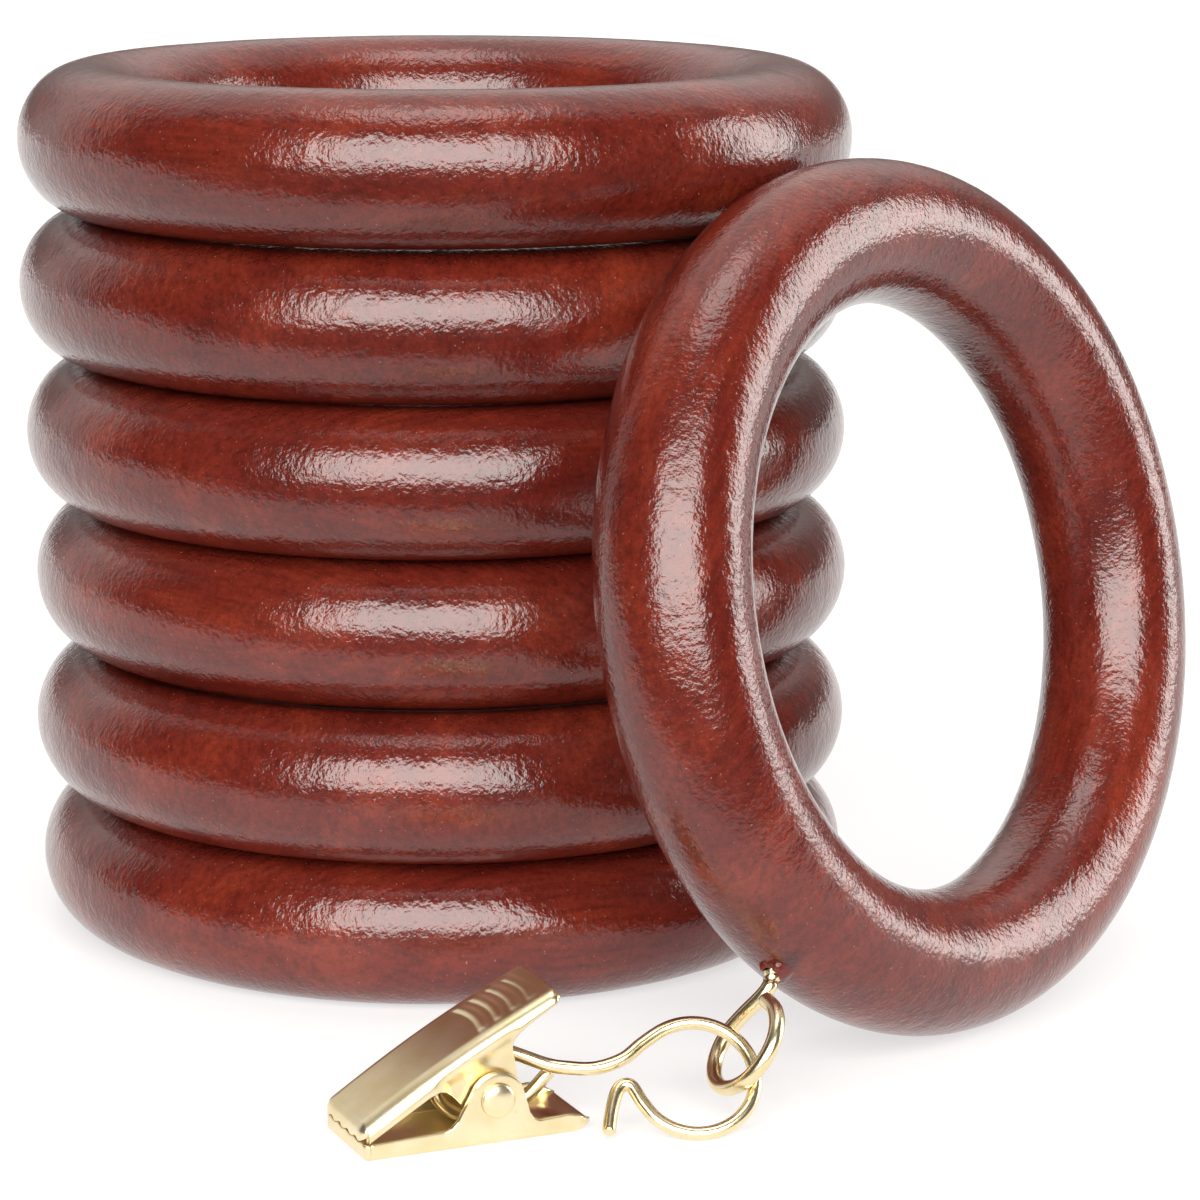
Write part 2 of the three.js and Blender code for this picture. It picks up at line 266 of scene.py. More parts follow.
def lacquered_wood():
    """Turned wood under thick red-brown varnish: stain, streaks, specks, orange peel and fine wrinkles."""
    material, nodes, links, shader = new_material("lacquered_wood")
    grain = attribute_node(nodes, "grain").outputs["Vector"]
    turn = attribute_node(nodes, "turn").outputs["Vector"]
    drip = attribute_node(nodes, "drip").outputs["Fac"]

    def pattern(vector, scale, detail, roughness, stops):
        return ramp(nodes, links, noise_node(nodes, links, vector, scale, detail, roughness), stops)

    stain = [(0.30, LACQUER_DARK), (0.52, LACQUER_MIDDLE), (0.74, LACQUER_LIGHT)]
    colour = pattern(stretched(nodes, links, grain, CLOUD_SCALE), 1.0, 4.0, 0.6, stain)
    streaks = stretched(nodes, links, grain, STREAK_SCALE)
    for shade in (
        pattern(grain, MOTTLE_SCALE, 4.0, 0.7, [(0.30, 0.70), (0.62, 1.0)]),
        pattern(streaks, 1.0, 3.0, 0.6, [(0.36, 0.74), (0.56, 1.0)]),
        pattern(grain, FLECK_SCALE, 2.0, 0.7, [(0.30, 0.80), (0.55, 1.0)]),
    ):
        colour = blend_colours(nodes, links, 1.0, colour, shade, "MULTIPLY")
    specks = pattern(grain, SPECK_SCALE, 0.0, 0.5, [(0.82, 0.0), (0.85, 0.4)])
    colour = blend_colours(nodes, links, specks, colour, SPECK)
    colour = blend_colours(nodes, links, drip, colour, LACQUER_DRIP)
    links.new(colour, shader.inputs["Base Color"])

    swell = noise_node(nodes, links, grain, SWELL_SCALE, 2.0, 0.5)
    peel = noise_node(nodes, links, grain, PEEL_SCALE, 2.0, 0.55)
    wrinkles = noise_node(nodes, links, turn, WRINKLE_SCALE, 3.0, 0.6)
    surface = bump(nodes, links, swell, 0.5, SWELL_HEIGHT)
    surface = bump(nodes, links, peel, 0.6, PEEL_HEIGHT, surface)
    surface = bump(nodes, links, wrinkles, 0.5, WRINKLE_HEIGHT, surface)
    links.new(surface, shader.inputs["Normal"])
    links.new(surface, shader.inputs["Coat Normal"])
    gloss = pattern(grain, GLOSS_SCALE, 3.0, 0.5, [(0.3, 0.14), (0.7, 0.21)])
    links.new(gloss, shader.inputs["Roughness"])
    shader.inputs["IOR"].default_value = 1.50
    shader.inputs["Coat Weight"].default_value = 0.30
    shader.inputs["Coat Roughness"].default_value = 0.07
    return material


BRASS = (0.83, 0.69, 0.40)
BRASS_PALE = (0.90, 0.78, 0.52)
BRASS_DULL = (0.52, 0.38, 0.17)
TARNISH_SCALE = 0.35
STAIN_SCALE = 1.7
STAIN_ROUGHENS = 0.16
WAVE_SCALE = 0.9
WAVE_HEIGHT = 0.02
POLISH_HEIGHT = 0.012
SHEET_ROUGHNESS = 0.29
SHEET_LINES = (0.9, 6.0, 6.0)
WIRE_ROUGHNESS = 0.24
WIRE_LINES = (3.0, 3.0, 3.0)


def plated_brass(name, rough, polish_lines):
    """Pale plated brass: faint polish lines, small dull stains and a soft unevenness."""
    material, nodes, links, shader = new_material(name)
    grain = attribute_node(nodes, "grain").outputs["Vector"]
    clouds = noise_node(nodes, links, grain, TARNISH_SCALE, 3.0)
    colour = ramp(nodes, links, clouds, [(0.34, BRASS), (0.62, BRASS_PALE)])
    spots = noise_node(nodes, links, grain, STAIN_SCALE, 5.0, 0.7)
    stains = ramp(nodes, links, spots, [(0.63, 0.0), (0.78, 0.55)])
    colour = blend_colours(nodes, links, stains, colour, BRASS_DULL)
    links.new(colour, shader.inputs["Base Color"])
    lines = noise_node(nodes, links, stretched(nodes, links, grain, polish_lines), 1.0, 2.0)
    waves = noise_node(nodes, links, grain, WAVE_SCALE, 2.0)
    surface = bump(nodes, links, waves, 0.35, WAVE_HEIGHT)
    surface = bump(nodes, links, lines, 0.25, POLISH_HEIGHT, surface)
    links.new(surface, shader.inputs["Normal"])
    roughness = ramp(nodes, links, stains, [(0.0, rough), (1.0, rough + STAIN_ROUGHENS)])
    links.new(roughness, shader.inputs["Roughness"])
    shader.inputs["Metallic"].default_value = 1.0
    return material


WOOD = lacquered_wood()
SHEET_BRASS = plated_brass("brass_sheet", SHEET_ROUGHNESS, SHEET_LINES)
WIRE_BRASS = plated_brass("brass_wire", WIRE_ROUGHNESS, WIRE_LINES)


# ---- rings ----------------------------------------------------------------

RING_STEPS = 320
SECTION_STEPS = 88
STACK_UP = 6.74  # half the section's height where rings lie on each other
ROOM_BELOW = 6.65  # half its height where it meets the floor or the air
FIRST_TURN = 20  # how far each stacked ring's pattern is turned, in degrees
NEXT_TURN = 61
LUMPS = 3  # slow unevenness of the turning: its pattern and height
LUMP_FLATTENING = 0.35
LUMP_HEIGHT = 0.05
LUMP_SEED = 7.3
TOOL_MARKS = (0.55, 2.2)  # fine unevenness, along and round the section
TOOL_MARK_HEIGHT = 0.012
CLIP_RING_SEED = 9.0


def ring_points(radius, wall, up, down, seed):
    """A turned torus, a little uneven, as points in loops round its section.

    Its section is wall wide and reaches up above and down below its middle.
    """
    points = []
    half = wall / 2
    along, across = TOOL_MARKS
    for i in range(RING_STEPS):
        around = tau * i / RING_STEPS
        for k in range(SECTION_STEPS):
            section = tau * k / SECTION_STEPS
            lump_place = Vector((cos(around), sin(around), LUMP_FLATTENING * sin(section))) * LUMPS
            uneven = noise.noise(lump_place + Vector((seed * LUMP_SEED, 0, 0))) * LUMP_HEIGHT
            mark_place = Vector((radius * around * along + seed, section * across, seed))
            fine = noise.noise(mark_place) * TOOL_MARK_HEIGHT
            out = (half + uneven + fine) * cos(section)
            height = (up if sin(section) > 0 else down) + min(uneven, 0) + fine
            points.append(((radius + out) * cos(around), (radius + out) * sin(around), height * sin(section)))
    return points


def turn_at(radius, seed):
    """Coordinates that run fast round the ring and slowly round its section, for the varnish's wrinkles."""
    around_scale = 1.9
    section_scale = 0.75
    outward_scale = 1.2
    seed_step = 9.0

    def value_at(point):
        ring = hypot(point.x, point.y)
        share = around_scale * radius / ring
        up = section_scale * ((ring - radius) * outward_scale + point.z)
        return (point.x * share + seed * seed_step, point.y * share, up)

    return value_at


def make_ring(node, place, up, down, seed, drip_at):
    low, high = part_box("ring_1")
    outer = (high.x - low.x) / 2 / MM
    radius = outer - WALL / 2
    points = ring_points(radius, WALL, up, down, seed)
    faces = loops_to_faces(RING_STEPS, SECTION_STEPS, True)
    extra = (("turn", "FLOAT_VECTOR", turn_at(radius, seed)), ("drip", "FLOAT", drip_at))
    make_piece(node + "_turned", points, faces, WOOD, node, place, node, seed, extra)


def stacked_rings():
    for i in range(STACKED_RINGS):
        node = f"ring_{i + 1}"
        low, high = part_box(node)
        middle = (low + high) / 2
        own_turn = radians(NEXT_TURN * i + FIRST_TURN)
        place = Matrix.Translation(middle) @ Matrix.Rotation(own_turn, 4, "Z")
        down = ROOM_BELOW if i == 0 else STACK_UP
        up = ROOM_BELOW if i == STACKED_RINGS - 1 else STACK_UP
        make_ring(node, place, up, down, i + 1.0, lambda point: 0.0)


def leaning_place():
    """The leaning ring's frame: Z along its axis, X along the screw eye's shank."""
    low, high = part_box("clip_ring")
    tangent = Vector(JOINTS["ring_tilt"]["axis"]).normalized()
    facing = tangent.cross(Vector((0, 0, 1)))
    lean = radians(LEAN_ANGLE)
    normal = facing * cos(lean) + Vector((0, 0, sin(lean)))
    down = normal.cross(tangent).normalized()
    if down.z > 0:
        down = -down
    side = normal.cross(down)
    around = radians(EYE_AROUND_RING)
    shank = down * cos(around) + side * sin(around)
    across = normal.cross(shank)
    place = Matrix((shank, across, normal)).transposed().to_4x4()
    place.translation = (low + high) / 2
    return place


DRIP_WAY = Vector((0.12, -0.35, 0.93)).normalized()  # in the leaning ring's frame, from the shank
DRIP_TAPER = 4.5
DRIP_WIDE = 0.9
DRIP_NARROW = 0.45
DRIP_SOFT_END = (4.0, 5.6)
DRIP_SOFT_SIDE = (0.6, 1.5)  # in shares of its width
DRIP_STRENGTH = 0.8


def clip_ring():
    """The leaning ring: its varnish has pooled in a darker tongue above the screw eye's hole."""
    place = leaning_place()

    def drip_at(point):
        off = Vector((RING_OUTER - point.x, point.y, point.z))
        along = DRIP_WAY.dot(off)
        across = (off - DRIP_WAY * along).length
        width = mixed(DRIP_WIDE, DRIP_NARROW, smooth(0, DRIP_TAPER, along))
        inner, outer = DRIP_SOFT_SIDE
        side = 1 - smooth(width * inner, width * outer, across)
        return side * (1 - smooth(*DRIP_SOFT_END, along)) * DRIP_STRENGTH

    make_ring("clip_ring", place, ROOM_BELOW, ROOM_BELOW, CLIP_RING_SEED, drip_at)
    return place


# ---- wires ----------------------------------------------------------------

CAP_STEPS = 5
CAP_LENGTH = 0.35
SHANK_DEPTH = 6  # out of sight in the wood, and shorter than the CAD model's
EYE_ARCS = 12
EYE_PATH_STEPS = 260
EYE_SIDES = 28
THREAD_PITCH = 0.62
THREAD_HEIGHT = 0.13
THREAD_SUNK = 0.3  # how far the thread's middle lies inside the wire, as a share of its height
THREAD_LENGTH = SHANK_DEPTH + 1.3
THREAD_FADE = (-0.5, 0.4)
POINT_TAPER = (-2.0, 1.2)


def swept(path, radius_at, sides):
    """A closed wire along path, with round ends; radius_at gives a radius for a length and an angle."""
    stations = []
    across = (path[1] - path[0]).orthogonal().normalized()
    length = 0.0
    for i, here in enumerate(path):
        ahead = path[min(i + 1, len(path) - 1)] - path[max(i - 1, 0)]
        tangent = ahead.normalized()
        across = (across - tangent * across.dot(tangent)).normalized()
        if i:
            length += (here - path[i - 1]).length
        stations.append((here, tangent, across.copy(), length))

    def cap(station, way, steps):
        """Loops of a rounded end, each as (station, share of the radius, push along the wire)."""
        swings = [pi / 2 * k / CAP_STEPS for k in steps]
        return [(station, cos(swing), way * CAP_LENGTH * sin(swing)) for swing in swings]

    loops = cap(stations[0], -1, range(CAP_STEPS, 0, -1))
    loops += [(station, 1.0, 0.0) for station in stations]
    loops += cap(stations[-1], 1, range(1, CAP_STEPS + 1))
    points = []
    for (here, tangent, across, along), share, push in loops:
        third = tangent.cross(across)
        for k in range(sides):
            angle = tau * k / sides
            radius = radius_at(along, angle) * share
            points.append(here + tangent * push + (across * cos(angle) + third * sin(angle)) * radius)
    return points, loops_to_faces(len(loops), sides, False)


def screw_eye(ring_place):
    """The eye's wire, from the point of its shank to the end of its loop, with a thread on the shank."""
    loop_top = RING_OUTER + EYE_NECK
    centre = loop_top + EYE_LOOP_RADIUS
    point, neck = RING_OUTER - SHANK_DEPTH, loop_top - EYE_WIRE
    knots = [Vector((along, 0, 0)) for along in (point, point + SHANK_DEPTH / 2, RING_OUTER, neck)]
    for i in range(EYE_ARCS + 1):
        share = i / EYE_ARCS
        angle = radians(EYE_STARTS + share * (EYE_ENDS - EYE_STARTS))
        knots.append(Vector((centre - EYE_LOOP_RADIUS * cos(angle),
                             -EYE_LOOP_RADIUS * sin(angle), EYE_END_SHIFT * share ** 5)))
    fade_from, fade_to = (THREAD_LENGTH + step for step in THREAD_FADE)

    def radius_at(along, angle):
        turn = tau * along / THREAD_PITCH - angle
        fade = 1 - smooth(fade_from, fade_to, along)
        taper = smooth(*POINT_TAPER, along)
        return (EYE_WIRE / 2 + THREAD_HEIGHT * (sin(turn) - THREAD_SUNK) * fade) * taper

    points, faces = swept(curve_through(knots, EYE_PATH_STEPS), radius_at, EYE_SIDES)
    place = ring_place @ Matrix.Rotation(radians(EYE_TURN), 4, "X")
    make_piece("screw_eye_wire", points, faces, WIRE_BRASS, "clip_ring", place,
               "screw_eye", 3.0)


BURR_SIDES = 26
BURR_ROWS = 7
BURR_HIGH_SIDE = 40  # degrees round the shank, where the collar stands highest
BURR_LOBE = (-0.6, 1.0)  # cosines between which it rises to that side
BURR_LUMPS = 2.1
BURR_SEED = 5.0
BURR_INNER = 0.78
BURR_OUTER = 1.25
BURR_OUTER_LOBE = 0.5
BURR_ROOT = -0.25  # below the ring's surface
BURR_HEIGHT = 0.25
BURR_HIGH_LOBE = 0.55
BURR_ROUGH = (0.25, 0.45)  # unevenness of its radius and its height


def varnish_burr(ring_place):
    """The collar of split varnish that the screw eye pushed up round its shank."""
    rough_out, rough_up = BURR_ROUGH
    points = []
    for i in range(BURR_ROWS):
        share = i / (BURR_ROWS - 1)
        for k in range(BURR_SIDES):
            angle = tau * k / BURR_SIDES
            rough = noise.noise(Vector((cos(angle) * BURR_LUMPS, sin(angle) * BURR_LUMPS, BURR_SEED)))
            lobe = smooth(*BURR_LOBE, cos(angle - radians(BURR_HIGH_SIDE)))
            outer = BURR_OUTER + BURR_OUTER_LOBE * lobe
            reach = mixed(BURR_INNER, outer, abs(1 - 2 * share)) + rough_out * rough
            top = BURR_HEIGHT + BURR_HIGH_LOBE * lobe + rough_up * rough
            height = mixed(BURR_ROOT, top, sin(pi * share))
            points.append((RING_OUTER + height, reach * cos(angle), reach * sin(angle)))
    faces = loops_to_faces(BURR_ROWS, BURR_SIDES, True)
    make_piece("varnish_burr", points, faces, WOOD, "clip_ring", ring_place, None, 4.0)


def clip_place():
    """The clip's frame: X from nose to tail, Y across, Z up, on the floor."""
    rivet = Vector(JOINTS["jaw_open"]["pos_m"])
    across = Vector(JOINTS["jaw_open"]["axis"]).normalized()
    along = across.cross(Vector((0, 0, 1)))
    place = Matrix((along, across, Vector((0, 0, 1)))).transposed().to_4x4()
    place.translation = rivet - along * RIVET_X * MM - Vector((0, 0, RIVET_Z)) * MM
    return place


LOOP_ARCS = 13
HOOK_PATH_STEPS = 420
HOOK_SIDES = 26


def hook_wire(place):
    """One wire: its inner end goes round the rivet, and its outer end is the open loop of the hook."""
    from_rivet = [
        (5.8, -1.0, 0.52), (3.9, -1.0, -1.18), (2.0, -0.9, -1.98), (0.3, -0.8, -2.25),
        (-1.2, -0.7, -2.25), (-2.8, -0.6, -1.58), (-3.8, -0.5, -0.18), (-3.6, -0.5, 1.32),
        (-2.2, -0.6, 2.52), (-0.3, -0.7, 3.17), (1.6, -0.9, 3.02), (3.2, -1.3, 2.42),
    ]
    # In the loop's own plane, from its centre: the approach, the round loop and the bent tip
    flat = [(-12.0, 1.65), (-10.4, 1.3), (-8.1, 1.15), (-5.8, 1.85), (-4.1, 3.15)]
    for i in range(LOOP_ARCS + 1):
        angle = radians(mixed(LOOP_STARTS, LOOP_ENDS, i / LOOP_ARCS))
        flat.append((LOOP_RADIUS * cos(angle), LOOP_RADIUS * sin(angle)))
    flat += [(-5.2, -0.6), (-5.9, -0.45), (-6.5, -1.1), (-7.0, -2.65), (-7.35, -4.35)]
    rivet_middle = Vector((RIVET_X, 0, RIVET_Z))
    centre = place.inverted() @ Vector(JOINTS["hook_swing"]["pos_m"]) / MM
    plane = (Matrix.Translation(centre) @ Matrix.Rotation(radians(LOOP_HEADING), 4, "Z")
             @ Matrix.Rotation(radians(LOOP_SLOPE), 4, "X"))
    knots = [rivet_middle + Vector(point) for point in from_rivet]
    knots += [plane @ Vector((x, y, 0)) for x, y in flat]
    path = curve_through(knots, HOOK_PATH_STEPS)
    points, faces = swept(path, lambda along, angle: HOOK_WIRE / 2, HOOK_SIDES)
    make_piece("hook_wire_bent", points, faces, WIRE_BRASS, "clip", place, "hook_wire", 5.0)


# ---- pressed sheet --------------------------------------------------------

RIM = 0.14  # how far a sheet's rounded edge stands out
FRONT_ROWS = 8
BEND_ROWS = 8
LENGTH_ROWS = 170
FLAT_ROWS = 18
ARC_ROWS = 8
SIDE_ROWS = 16
RIM_ROWS = 4
END_ROWS = 4
FLANGE_SIDE = 0.85  # the front flange's own side folds, as a share of its fold
TAIL_ROUNDING = 0.8  # how far a tail is drawn in at its corners, as a share of the corner


def folded_spine(front_foot, fold, length, depth_at, lift_at):
    """Stations down the outside of a channel: up its front flange, round the fold and along its back.

    Each is (point, inward, tangent, depth of the side flange), in the jaw's plane of (along, depth).
    """
    stations = []
    reach = FLANGE_SIDE * fold
    for i in range(FRONT_ROWS):
        stations.append(((0, mixed(front_foot - RIM, fold, i / FRONT_ROWS)), (1, 0), (0, -1), reach))
    for i in range(BEND_ROWS):
        angle = pi / 2 * i / BEND_ROWS
        inward = (cos(angle), sin(angle))
        point = (fold - fold * inward[0], fold - fold * inward[1])
        stations.append((point, inward, (sin(angle), -cos(angle)), reach))
    for i in range(LENGTH_ROWS + 1):
        along = mixed(fold, length - RIM, i / LENGTH_ROWS)
        stations.append(((along, lift_at(along)), (0, 1), (1, 0), depth_at(along) - RIM - lift_at(along)))
    return stations


def section_loop(half, bend, depth, thickness):
    """One closed loop of (y, depth) points round the sheet's cut edge, for both halves."""
    limit = acos(1 - depth / bend) if depth < bend else pi / 2
    spare = max(depth - bend, 0)
    top = (SHEET - thickness) / 2

    def on_fold(offset, angle):
        out = bend - offset
        return half - bend + out * sin(angle), bend - out * cos(angle)

    def run(offset):
        flat = [((half - bend) * i / FLAT_ROWS, offset) for i in range(FLAT_ROWS)]
        arc = [on_fold(offset, limit * i / ARC_ROWS) for i in range(ARC_ROWS + 1)]
        y, d = arc[-1]
        down = [(y, d + spare * (i + 1) / SIDE_ROWS) for i in range(SIDE_ROWS)]
        return flat + arc + down

    rim = []
    for i in range(1, RIM_ROWS):
        swing = pi * i / RIM_ROWS
        y, d = on_fold(top + thickness * (1 - cos(swing)) / 2, limit)
        push = RIM * sin(swing) * thickness / SHEET
        rim.append((y + push * cos(limit), d + spare + push * sin(limit)))
    side = run(top) + rim + run(top + thickness)[::-1]
    return side + [(-y, d) for y, d in side[::-1][1:-1]]


def channel(stations, half_at, bend, warp, to_clip):
    """The closed mesh of a pressed channel, with every edge rounded."""
    points = []
    swings = [(stations[0], -1, pi / 2 * k / END_ROWS) for k in range(END_ROWS, 0, -1)]
    swings += [(station, 0, 0.0) for station in stations]
    swings += [(stations[-1], 1, pi / 2 * k / END_ROWS) for k in range(1, END_ROWS + 1)]
    for (point, inward, tangent, depth), way, swing in swings:
        thickness = SHEET * cos(swing)
        push = way * RIM * sin(swing)
        loop = section_loop(half_at(point[0]), bend, depth, thickness)
        for y, d in loop:
            along = point[0] + inward[0] * d + tangent[0] * push
            deep = point[1] + inward[1] * d + tangent[1] * push
            points.append(to_clip(*warp(along, y, deep)))
    return points, loops_to_faces(len(swings), len(points) // len(swings), False)


def rounded_tail(half, length, corner):
    """The half width, drawn in round the corners of the tail."""
    def half_at(along):
        over = min(max(along - (length - corner), 0) / corner, 1)
        return half - corner * TAIL_ROUNDING * (1 - (1 - over * over) ** 0.5)
    return half_at


EAR_FLANK = 2.18  # where the ear's round top meets its straight flanks
TOOTH_PITCH = 1.8
FLAT_DEPTH = (0.7, 1.0)  # a dent or rib in the flat fades out where the sheet turns down

LOWER_FOLD = 0.55
LOWER_TAIL_CORNER = 1.3
LOWER_TAIL_LIFT = 0.32
LOWER_LIFT_FROM = 17.9
LIP_TEETH_TO = 0.6  # the lip's teeth: along the jaw to here, and this far down
LIP_TEETH_DEPTH = 0.8
LIP_TOOTH = 0.07
DIMPLE_PLACE = 16.7
DIMPLE_HALF_LENGTH = 1.5
DIMPLE_HALF_WIDTH = 2.6
DIMPLE_DEPTH = 0.28


def lower_jaw(place):
    """A tray with a toothed lip, low rails that rise to an ear on each side, and a lifted tail."""
    rail = [(0, 1.42), (6.9, 1.66), (7.5, 1.86), (8.0, 2.4), (RIVET_X - EAR_FLANK, 4.56),
            (RIVET_X + EAR_FLANK, 4.56), (14.2, 2.35), (14.6, 1.78), (15.1, 1.56), (17.6, 1.70),
            (18.5, 1.52), (19.2, 1.1), (CLIP_LENGTH, 0.8)]

    def height_at(along):
        off = abs(along - RIVET_X)
        if off < EAR_FLANK:
            return RIVET_Z + (EAR_RADIUS ** 2 - off ** 2) ** 0.5
        return through(rail, along)

    def lift_at(along):
        return LOWER_TAIL_LIFT * smooth(LOWER_LIFT_FROM, CLIP_LENGTH, along)

    def warp(along, y, deep):
        if along < LIP_TEETH_TO:
            deep += LIP_TOOTH * cos(tau * y / TOOTH_PITCH) * smooth(LIP_TEETH_DEPTH, LIP_HEIGHT, deep)
        inside = 1 - smooth(DIMPLE_HALF_WIDTH, DIMPLE_HALF_WIDTH + 1, abs(y))
        off = ((along - DIMPLE_PLACE) / DIMPLE_HALF_LENGTH) ** 2 + (y / DIMPLE_HALF_WIDTH) ** 2
        deep += DIMPLE_DEPTH * max(1 - off, 0) * inside * (1 - smooth(*FLAT_DEPTH, deep))
        return along, y, deep

    stations = folded_spine(LIP_HEIGHT, LOWER_FOLD, CLIP_LENGTH, height_at, lift_at)
    half_at = rounded_tail(CLIP_HALF_WIDTH, CLIP_LENGTH, LOWER_TAIL_CORNER)
    points, faces = channel(stations, half_at, LOWER_FOLD, warp, lambda along, y, deep: (along, y, deep))
    make_piece("lower_jaw_pressed", points, faces, SHEET_BRASS, "clip", place,
               "lower_jaw", 6.0)


UPPER_FOLD = 0.65
UPPER_BEND = 1.25
UPPER_TAIL_CORNER = 0.8
UPPER_EAR_REAR = 1.9  # behind the rivet, along the jaw
NOSE_FOOT = 1.04
NOSE_UPRIGHT = (0.4, 3.4)  # the front flange stands upright, and this lean fades along the jaw
NOSE_TEETH_TO = 0.7  # the nose's teeth: along the jaw to here, and this far down
NOSE_TEETH_DEPTH = 0.55
NOSE_TOOTH = 0.13
NOSE_TOOTH_DROP = 0.06
WAIST = 0.8  # how far the sides step in, to run inside the lower ears
WAIST_FRONT = (6.6, 8.0)
WAIST_REAR = (13.8, 15.4)
WAIST_DEPTH = (0.6, 2.4)
WAIST_SIDE = (2.4, 3.4)
CROWN = 0.4
CROWN_DEPTH = (0.8, 3.5)
RIBS = 4
RIB_START = 13.1
RIB_PITCH = 1.55
RIB_HALF_WIDTH = 0.55
RIB_HEIGHT = 0.12
RIB_CURVE = 0.055
RIB_CURVE_FROM = 2
RIB_SIDE = (2.5, 3.3)


def upper_jaw(place):
    """A crowned channel that slopes up from a toothed nose, with ears round the rivet and a ribbed tail."""
    pitch = radians(JAW_PITCH)
    rivet_along = (RIVET_X + SHEET / 2) * cos(pitch) + (RIVET_Z - NOSE_HEIGHT) * sin(pitch)
    rivet_deep = (RIVET_X + SHEET / 2) * sin(pitch) - (RIVET_Z - NOSE_HEIGHT) * cos(pitch)
    ear_front = rivet_along - EAR_FLANK
    ear_rear = rivet_along + UPPER_EAR_REAR
    flange = [(0, 1.52), (6.1, 1.56), (6.9, 1.68), (7.4, 2.1), (7.8, 2.9), (ear_front, 5.6),
              (ear_rear, 6.2), (13.1, 4.62), (14.0, 2.3), (14.4, 1.72), (15.0, 1.4), (16.0, 1.22),
              (18.7, 1.0), (UPPER_LENGTH, 0.75)]
    slope = tan(pitch)

    def depth_at(along):
        if ear_front < along < ear_rear:
            return rivet_deep + (EAR_RADIUS ** 2 - (along - rivet_along) ** 2) ** 0.5
        return through(flange, along)

    def warp(along, y, deep):
        waist = smooth(*WAIST_FRONT, along) * (1 - smooth(*WAIST_REAR, along))
        waist *= smooth(*WAIST_DEPTH, deep) * smooth(*WAIST_SIDE, abs(y))
        y -= WAIST * waist * (1 if y > 0 else -1)
        flat = (1 - smooth(*RIB_SIDE, abs(y))) * (1 - smooth(*FLAT_DEPTH, deep))
        for rib in range(RIBS):
            middle = RIB_START + rib * RIB_PITCH - RIB_CURVE * (y * y - RIB_CURVE_FROM ** 2)
            deep -= RIB_HEIGHT * flat * max(1 - ((along - middle) / RIB_HALF_WIDTH) ** 2, 0)
        if along < NOSE_TEETH_TO:
            teeth = 0.5 + 0.5 * cos(tau * y / TOOTH_PITCH + pi)
            lower = smooth(NOSE_TEETH_DEPTH, NOSE_FOOT, deep)
            along += NOSE_TOOTH * teeth * lower
            deep += NOSE_TOOTH_DROP * (1 - 2 * teeth) * lower
        crown = CROWN * sin(pi * min(max(along / UPPER_LENGTH, 0), 1)) * (1 - smooth(*CROWN_DEPTH, deep))
        upright = slope * deep * (1 - smooth(*NOSE_UPRIGHT, along))
        return along - upright, y, deep - crown

    def to_clip(along, y, deep):
        x = along * cos(pitch) + deep * sin(pitch) - SHEET / 2
        return x, y, NOSE_HEIGHT + along * sin(pitch) - deep * cos(pitch)

    half_at = rounded_tail(CLIP_HALF_WIDTH, UPPER_LENGTH, UPPER_TAIL_CORNER)
    stations = folded_spine(NOSE_FOOT, UPPER_FOLD, UPPER_LENGTH, depth_at, lambda along: 0.0)
    points, faces = channel(stations, half_at, UPPER_BEND, warp, to_clip)
    make_piece("upper_jaw_pressed", points, faces, SHEET_BRASS, "upper_jaw", place,
               "upper_jaw", 7.0)


RIVET_SIDES = 48
RIVET_DOME_STEPS = 12
RIVET_RADIUS = 1.1
RIVET_BODY_HALF = 1.0  # a loop of its body near the middle
RIVET_CLEARANCE = 0.05
RIVET_EDGE = 0.05
RIVET_DIMPLE = 0.03


def rivet(place):
    """A rivet with a domed head at each end and a faint dimple in each dome."""
    under = CLIP_HALF_WIDTH + RIVET_CLEARANCE
    top = under + RIVET_HEAD_HEIGHT
    outline = [(0.0, top - RIVET_DIMPLE)]
    for i in range(1, RIVET_DOME_STEPS + 1):
        angle = pi / 2 * i / RIVET_DOME_STEPS
        drop = RIVET_HEAD_HEIGHT * (1 - cos(angle) ** 0.8)
        outline.append((RIVET_HEAD_RADIUS * sin(angle), top - drop))
    outline += [(RIVET_HEAD_RADIUS - RIVET_EDGE, under), (RIVET_RADIUS, under)]
    outline += [(RIVET_RADIUS, RIVET_BODY_HALF)]
    outline += [(radius, -y) for radius, y in outline[::-1]]
    points = []
    for radius, y in outline:
        for k in range(RIVET_SIDES):
            angle = tau * k / RIVET_SIDES
            points.append((RIVET_X + radius * cos(angle), y, RIVET_Z + radius * sin(angle)))
    faces = loops_to_faces(len(outline), RIVET_SIDES, False)
    make_piece("rivet_headed", points, faces, SHEET_BRASS, "clip", place, "rivet", 8.0)


# ---- studio ---------------------------------------------------------------

# The table, in metres: its white fades from just below the picture towards the viewer
FLOOR_REACH = 6.0
FLOOR_WHITE_FROM = -0.074
FLOOR_DARK_TO = -0.125
FLOOR_DARK = 0.07
FLOOR_WHITE = 0.38
FLOOR_GLOW = 0.62
FLOOR_ROUGHNESS = 0.9
FLOOR_SPECULAR = 0.1


